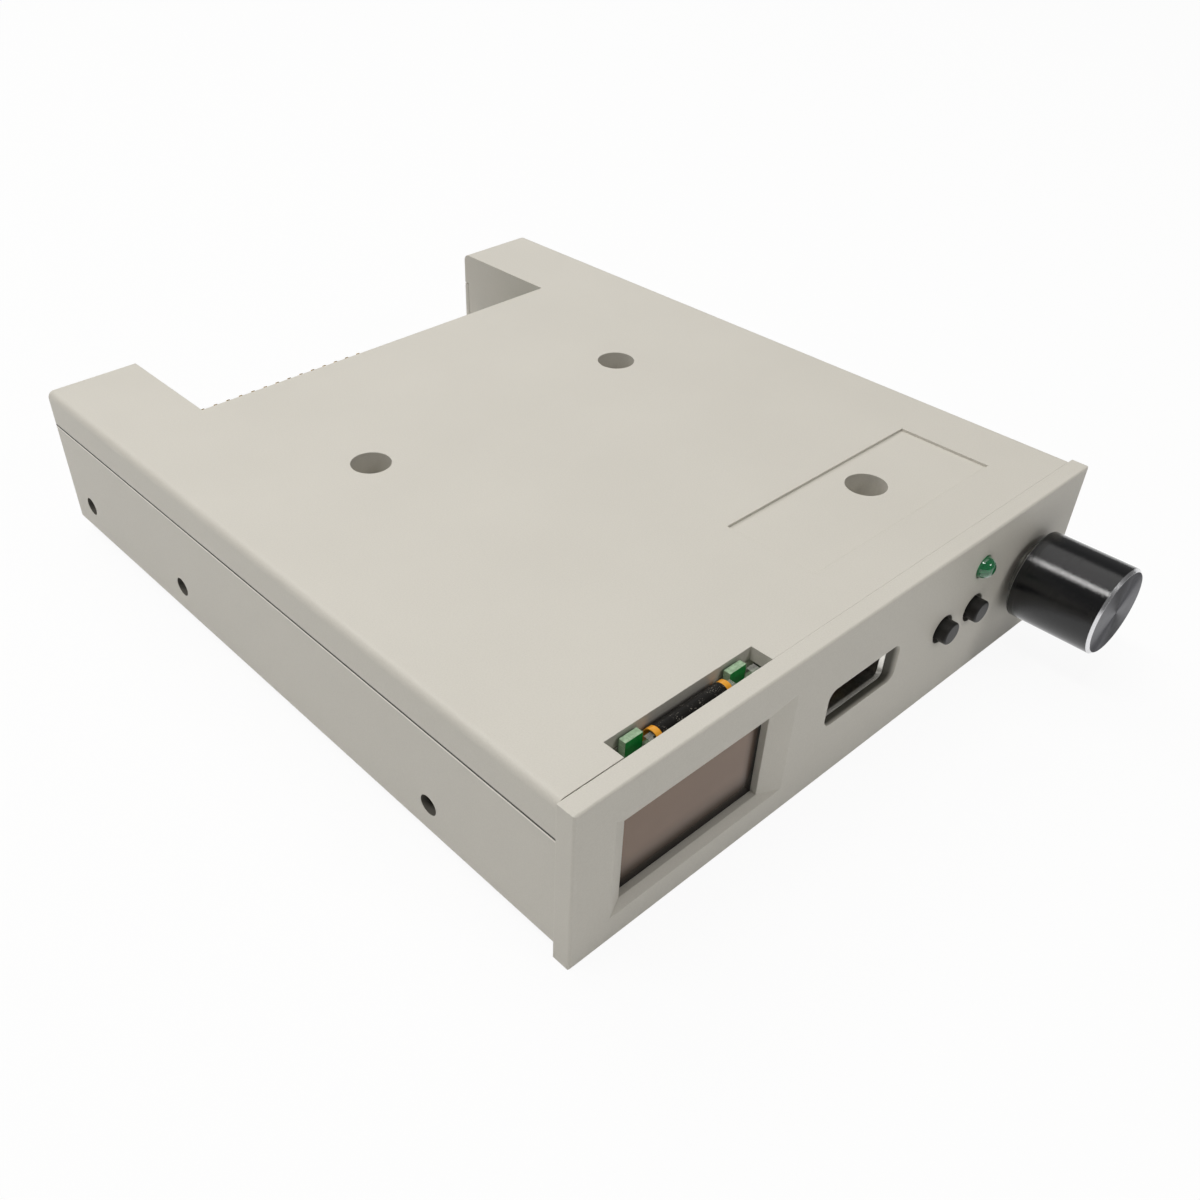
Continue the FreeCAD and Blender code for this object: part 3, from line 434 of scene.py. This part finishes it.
at_rest()
bpy.ops.mesh.primitive_uv_sphere_add(segments=48, ring_count=24, radius=LED_RADIUS,
                                     location=(LED_X, LED_CENTRE_Y, LED_Z), rotation=(math.pi / 2, 0, 0))
lens_body = named("led_resin")
bpy.ops.object.mode_set(mode="EDIT")
bpy.ops.mesh.select_all(action="SELECT")
bpy.ops.mesh.bisect(plane_co=(0, LED_CENTRE_Y + NEAR, 0), plane_no=(0, 1, 0), clear_outer=True)
shift(y=LED_FOOT_Y - LED_RIM_THICK - LED_CENTRE_Y - NEAR)
swell = LED_RIM_RADIUS / LED_RADIUS
shift()
bpy.ops.transform.resize(value=(swell, 1, swell), center_override=(LED_X, LED_FOOT_Y, LED_Z))
shift(y=LED_RIM_THICK)
bpy.ops.mesh.edge_face_add()
bpy.ops.mesh.select_all(action="SELECT")
bpy.ops.mesh.normals_make_consistent(inside=False)
smooth(lens_body, 40)
resin_skin, shader, place = new_finish("green resin", IOR=1.5, Transmission_Weight=0.6, Coat_Weight=1.0,
                                       Coat_Roughness=0.12)
place.noise(0.002).blend(seen(22, 160, 92), seen(32, 174, 104)).into(shader, "Base Color")
(0.02 + 0.03 * place.noise(0.001)).into(shader, "Roughness")
settle(lens_body, "case", "led_green", (resin_skin,), "led_lens")


def bar(name, radius, front, back, x, z, sides=64):
    """A round bar along Y."""
    at_rest()
    bpy.ops.mesh.primitive_cylinder_add(vertices=sides, radius=radius, depth=back - front,
                                        location=(x, (front + back) / 2, z), rotation=(math.pi / 2, 0, 0))
    return named(name)


cup = bar("led_cup", CUP_RADIUS, CUP_FRONT, METAL_BACK, CUP_X, LED_Z, 32)
pick(cup, lambda middle, normal: normal.y < -0.9)
bpy.ops.mesh.inset(thickness=CUP_LIP)
bpy.ops.mesh.inset(thickness=CUP_SLOPE, depth=-CUP_DEEP)
smooth(cup)
settle(cup, "case", "tin", (tin_skin,))
post = bar("led_post", POST_RADIUS, POST_FRONT, METAL_BACK, POST_X, LED_Z, 16)
pick(post, lambda middle, normal: normal.y < -0.9)
bpy.ops.mesh.inset(thickness=POST_TIP, depth=POST_TIP)
smooth(post)
settle(post, "case", "tin", (tin_skin,))


# The knob: a cap turned from aluminium and anodised black, pressed over a plastic insert on the encoder's
# shaft. The tool left fine grooves round it and rings on its face, and the chamfer at its front was cut after
# the dye, so it is bright.
KNOB_X, KNOB_Z = 0.0401, 0.0125
KNOB_RADIUS = 0.00664
KNOB_FRONT, KNOB_BACK = -0.068075, -0.055425
KNOB_CHAMFER = 0.00040
KNOB_WALL = 0.00085
KNOB_FACE_THICK = 0.0013
REAR_LIP, REAR_CHAMFER = 0.00012, 0.00015
GROOVE_PITCH = 0.00005
RING_PITCH = 0.00014
RING_DEPTH = 0.000046
RINGS = 43

knob = bar("knob_cap", KNOB_RADIUS, KNOB_FRONT + KNOB_CHAMFER, KNOB_BACK, KNOB_X, KNOB_Z, 160)
pick(knob, lambda middle, normal: normal.y < -0.9)
bpy.ops.mesh.inset(thickness=KNOB_CHAMFER, depth=KNOB_CHAMFER)
for ring in range(RINGS):
    bpy.ops.mesh.inset(thickness=RING_PITCH / 2, depth=-RING_DEPTH)
    bpy.ops.mesh.inset(thickness=RING_PITCH / 2, depth=RING_DEPTH)
pick(knob, lambda middle, normal: normal.y > 0.9)
bpy.ops.mesh.inset(thickness=REAR_LIP, depth=0.0)
bpy.ops.mesh.inset(thickness=KNOB_WALL - 2 * REAR_LIP)
shift(y=KNOB_FRONT + KNOB_FACE_THICK - KNOB_BACK)


def from_axis(middle):
    return math.hypot(middle.x - KNOB_X, middle.z - KNOB_Z)


pick(knob, lambda middle, way: abs(middle.y - KNOB_BACK) < 1e-6 and abs(way.y) < 0.1
     and abs(from_axis(middle) - KNOB_RADIUS) < 0.00005, "EDGE")
bpy.ops.mesh.bevel(offset=REAR_CHAMFER, segments=1, affect="EDGES")
smooth(knob, 18)
for face in knob.data.polygons:
    tilted = 0.2 < abs(face.normal.y) < 0.95
    if tilted and from_axis(face.center) > KNOB_RADIUS - KNOB_CHAMFER:
        face.material_index = 1
    elif face.normal.y < -0.2 and face.center.y < KNOB_FRONT + 0.0001:
        face.material_index = 2

dyed_skin, shader, place = new_finish("black anodised aluminium", IOR=1.5, Specular_IOR_Level=0.55)
drawn = place.stretched(1.0, 0.03, 1.0).noise(0.00022, 2.0)
drawn.blend(seen(7, 8, 9), seen(24, 24, 26)).into(shader, "Base Color")
(0.09 + 0.08 * drawn).into(shader, "Roughness")
grooves = {"W": place.along(1), "Scale": 1 / GROOVE_PITCH, "Detail": 1.0}
turned = place.node("ShaderNodeTexNoise", {"noise_dimensions": "1D"}, grooves)
relief(0.8 * turned + 0.2 * drawn, depth=0.000008).into(shader, "Normal")
cut_skin = plated("bright cut aluminium", (232, 232, 234), rough=0.22, streak=0.0001)
face_skin, shader, place = new_finish("ringed black aluminium", Metallic=1.0,
                                      Specular_Tint=seen(150, 150, 152))
dust = place.noise(0.0009, 2.0)
dust.blend(seen(118, 118, 120), seen(134, 134, 136)).into(shader, "Base Color")
(0.3 + 0.1 * dust).into(shader, "Roughness")
relief(place.noise(0.0001, 1.0), depth=0.000003).into(shader, "Normal")
settle(knob, "knob_turner", "knob_metal", (dyed_skin, cut_skin, face_skin), "knob")

put_on(plated("turned brass", (214, 186, 124), rough=0.3), "encoder_bushing")
put_on(plated("turned aluminium", (206, 206, 208), rough=0.3), "encoder_shaft")
put_on(moulded("black moulding", (24, 24, 25), (33, 33, 34), grain=0.0003, rough=0.45),
       "usb_insulator", "knob_core", "left_switch_body", "right_switch_body", "display_header",
       "floppy_header_body", "jumper_header_body", "jumper_caps", "microcontroller", "regulator",
       "encoder_housing", "encoder_rotor", "encoder_plunger", "encoder_wires", "display_wires")


# The main board: green mask over copper. Its tracks stand under the mask, the pins' legs are soldered in
# two rows, and white lines printed on it mark where the connectors go.
BOARD_TOP = 0.0096
FACE_Y = -0.054125
PITCH, POWER_PITCH = 0.00254, 0.0025
# Of each header: its first pin's place across, its pins in a row, its rows, and how far the last row lies
# behind the bezel's face.
HEADERS = {"floppy": (-0.03353, 17, 2, 0.1094),
           "jumper": (0.00987, 6, 2, 0.1084),
           "power": (0.0263, 4, 1, 0.1064)}
PAD_RADIUS, PAD_THICK = 0.00078, 0.00006
SOLDER_STEPS = ((0.00022, 0.00016), (0.00014, 0.00034))
OUTLINE_SIDE, OUTLINE_FRONT, OUTLINE_REAR = 0.75, 0.0003, 0.0012
OUTLINE_WIDTH, INK_THICK = 0.00016, 0.00002
TRACK_WIDTH, TRACK_THICK = 0.0003, 0.00003
# Of each set of tracks: how far behind the bezel's face it starts, and its steps across and forwards.
TRACKS = {"outer_tracks": (0.1094, ((0.00127, -0.0014), (0, -0.0160))),
          "inner_tracks": (0.10686, ((0, -0.0030), (0.0003, -0.0003), (0, -0.0115)))}


def repeat(piece, count, x=0.0, y=0.0):
    """Copies of a piece in a row with that step."""
    modify(piece, "ARRAY", count=count, use_relative_offset=False, use_constant_offset=True,
           constant_offset_displace=(x, y, 0))


put_on(masked_board("main board", (8, 88, 46), (140, 160, 120), broad=2), "main_board")
track_skin, shader, place = new_finish("mask over copper")
place.noise(0.0006).blend(seen(30, 122, 66), seen(44, 136, 78)).into(shader, "Base Color")
(0.26 + 0.1 * place.noise(0.0004)).into(shader, "Roughness")
solder_skin = plated("solder", (196, 198, 200), rough=0.2, streak=0.0003)
ink_skin, shader, place = new_finish("white ink", Roughness=0.6)
place.noise(0.0003).blend(seen(206, 208, 202), seen(228, 229, 224)).into(shader, "Base Color")

for name, (first, count, rows, reach) in HEADERS.items():
    pitch = POWER_PITCH if name == "power" else PITCH
    at_rest()
    bpy.ops.mesh.primitive_cylinder_add(vertices=20, radius=PAD_RADIUS, depth=PAD_THICK,
                                        location=(first, FACE_Y + reach, BOARD_TOP + PAD_THICK / 2))
    joint = named(name + "_solder")
    pick(joint, lambda middle, normal: normal.z > 0.9)
    for narrower, higher in SOLDER_STEPS:
        bpy.ops.mesh.inset(thickness=narrower, depth=higher)
    smooth(joint, 60)
    repeat(joint, count, x=pitch)
    if rows == 2:
        repeat(joint, rows, y=-PITCH)
    settle(joint, "case", "tin", (solder_skin,))

    left, right = first - pitch * OUTLINE_SIDE, first + pitch * (count - 1 + OUTLINE_SIDE)
    near, far = FACE_Y + reach - PITCH * rows + OUTLINE_FRONT, FACE_Y + reach + OUTLINE_REAR
    at_rest()
    bpy.ops.mesh.primitive_plane_add(size=1, location=((left + right) / 2, (near + far) / 2, BOARD_TOP))
    outline = bpy.context.active_object
    outline.scale = (right - left, far - near, 1)
    outline = named(name + "_outline")
    pick(outline, lambda middle, normal: True)
    bpy.ops.mesh.inset(thickness=OUTLINE_WIDTH)
    bpy.ops.mesh.delete(type="FACE")
    modify(outline, "SOLIDIFY", thickness=INK_THICK, offset=1)
    settle(outline, "case", "board_green", (ink_skin,))

first, count = HEADERS["floppy"][:2]
for name, (start, steps) in TRACKS.items():
    at_rest()
    bpy.ops.mesh.primitive_plane_add(size=TRACK_WIDTH, location=(first, FACE_Y + start, BOARD_TOP))
    track = named(name)
    edge_y = FACE_Y + start - TRACK_WIDTH / 2
    pick(track, lambda middle, way: middle.y < edge_y + NEAR and abs(way.x) > 0.9, "EDGE")
    for aside, forwards in steps:
        shift(x=aside, y=forwards)
    modify(track, "SOLIDIFY", thickness=TRACK_THICK, offset=1)
    repeat(track, count, x=PITCH)
    settle(track, "case", "board_green", (track_skin,))


# The chip resistors and capacitors: fired ceramic with tinned caps wrapped round both ends, soldered flat on
# the main board. Each is given by the place of its front left corner, across and behind the bezel's face.
RESISTORS = [(-0.030 + 0.004 * k, 0.102) for k in range(9)]
RESISTORS += [(0.012, 0.010), (0.0145, 0.010), (0.029, 0.027), (0.029, 0.030)]
CAPACITORS = [(-0.010, 0.048), (-0.010, 0.062), (0.006, 0.048), (0.006, 0.062), (-0.014, 0.090),
              (-0.027, 0.090), (0.012, 0.056), (0.017, 0.056)]
CAP_END, CAP_SIDE, CAP_ROUND = 0.00006, 0.00004, 0.00004

put_on(moulded("resistor glaze", (26, 26, 28), (36, 36, 38), grain=0.0002, rough=0.3), "resistors")
put_on(moulded("capacitor ceramic", (166, 138, 104), (182, 152, 116), grain=0.0003, rough=0.4),
       "capacitors")


def end_caps(name, places, length, width, height, cap):
    """A pair of caps, modelled on the first chip and copied to the others."""
    at_rest()
    x, y = places[0]
    bpy.ops.mesh.primitive_cube_add(size=1, location=(x + length / 2, FACE_Y + y + width / 2,
                                                      BOARD_TOP + height / 2))
    pair = bpy.context.active_object
    pair.scale = (length + CAP_END, width + CAP_SIDE, height + CAP_SIDE)
    pair = named(name + "_1")
    bpy.ops.object.mode_set(mode="EDIT")
    middle = x + length / 2
    for side in (-1, 1):
        bpy.ops.mesh.select_all(action="SELECT")
        bpy.ops.mesh.bisect(plane_co=(middle + side * (length / 2 - cap), 0, 0), plane_no=(1, 0, 0))
    pick(pair, lambda spot, normal: abs(spot.x - middle) < length / 2 - cap and abs(normal.x) < 0.5)
    bpy.ops.mesh.delete(type="FACE")
    bpy.ops.mesh.select_mode(type="EDGE")
    bpy.ops.mesh.select_all(action="DESELECT")
    bpy.ops.mesh.select_non_manifold()
    bpy.ops.mesh.fill_holes(sides=0)
    pick(pair, lambda spot, way: abs(way.x) < 0.5 and abs(spot.x - middle) > length / 2, "EDGE")
    bpy.ops.mesh.bevel(offset=CAP_ROUND, segments=2, affect="EDGES")
    smooth(pair)
    settle(pair, "case", "tin", (tin_skin,))
    for number, (to_x, to_y) in enumerate(places[1:], 2):
        twin = pair.copy()
        twin.data = pair.data.copy()
        twin.name = "%s_%d" % (name, number)
        bpy.context.scene.collection.objects.link(twin)
        twin.data.transform(Matrix.Translation((to_x - x, to_y - y, 0)))
        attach(twin, "case")


end_caps("resistor_ends", RESISTORS, length=0.0016, width=0.0008, height=0.00045, cap=0.0003)
end_caps("capacitor_ends", CAPACITORS, length=0.0020, width=0.00125, height=0.0011, cap=0.0004)


# The stage: a plain pale floor, white to the camera, under soft boxes in front, behind, at the rear right and
# low at the left. The panel and the narrow strip overhead give the knob its grey band and its bright line.
WARM, COOL = (1.0, 0.99, 0.975), (0.97, 0.99, 1.06)


def lamp(name, place, target, width, height, power, tint=WARM):
    light = bpy.data.lights.new(name, "AREA")
    light.color = tint
    light.shape = "RECTANGLE"
    light.size = width
    light.size_y = height
    light.energy = power
    holder = bpy.data.objects.new(name, light)
    bpy.context.scene.collection.objects.link(holder)
    holder.location = place
    holder.rotation_euler = (Vector(target) - Vector(place)).to_track_quat("-Z", "Y").to_euler()


lamp("front box", (0.22, -0.72, 0.55), (0, 0, 0), 0.18, 0.18, 1.02)
lamp("rear top box", (0.1, 0.75, 0.9), (0, 0, 0), 0.5, 0.5, 3.3)
lamp("rear right box", (0.7, 0.7, 0.6), (0, 0, 0), 0.4, 0.4, 0.65)
lamp("left low box", (-0.9, 0.6, 0.15), (0, 0, 0), 0.4, 0.2, 0.2, COOL)
lamp("top panel", (0.21, 0.1, 0.96), (0.21, 0.1, 0.0), 0.887, 0.6, 1.9)
lamp("long strip", (-0.36, 0.10, 0.86), (0.04, 0.10, 0.0), 0.6, 0.12, 3.7)

world = bpy.data.worlds.new("studio")
bpy.context.scene.world = world
world.use_nodes = True
air = Signal(world.node_tree, None)
camera_ray = air.node("ShaderNodeLightPath", out="Is Camera Ray")
ground = world.node_tree.nodes["Background"]
(camera_ray * 0.83 + 0.17).into(ground, "Strength")
ground.inputs["Color"].default_value = (1, 1, 1, 1)

at_rest()
bpy.ops.mesh.primitive_plane_add(size=6.0, location=(0, 0, -0.0001))
floor = named("floor")
floor_skin, shader, place = new_finish("floor paper", Base_Color=seen(235, 235, 234), Roughness=0.9)
rays = [place.node("ShaderNodeLightPath", out="Is %s Ray" % kind) for kind in
        ("Camera", "Glossy", "Transmission")]
glow = place.node("ShaderNodeEmission")
bare = Signal(floor_skin.node_tree, shader.outputs[0])
any_ray = rays[0] + rays[1] + rays[2]
white = any_ray.sum("MINIMUM", any_ray, 1.0) * 0.93
lit = place.node("ShaderNodeMixShader", None, {0: white, 1: bare, 2: glow})
lit.into(floor_skin.node_tree.nodes["Material Output"], "Surface")
floor.data.materials.append(floor_skin)

# The camera stands in front, to the left and above, where the photograph was taken from.
lens = bpy.data.cameras.new("camera")
lens.sensor_width = 36.0
lens.lens = 35.104
lens.shift_x = 0.05939
lens.shift_y = 0.05668
lens.clip_start = 0.01
camera = bpy.data.objects.new("camera", lens)
bpy.context.scene.collection.objects.link(camera)
right = (0.74576, -0.66621, 0.00011)
up = (0.43074, 0.48229, 0.76280)
back = (-0.50824, -0.56882, 0.64664)
turn = Matrix((right, up, back)).transposed().to_4x4()
camera.matrix_world = Matrix.Translation((-0.106675, -0.109865, 0.111759)) @ turn
bpy.context.scene.camera = camera
bpy.context.scene.view_settings.view_transform = "Standard"
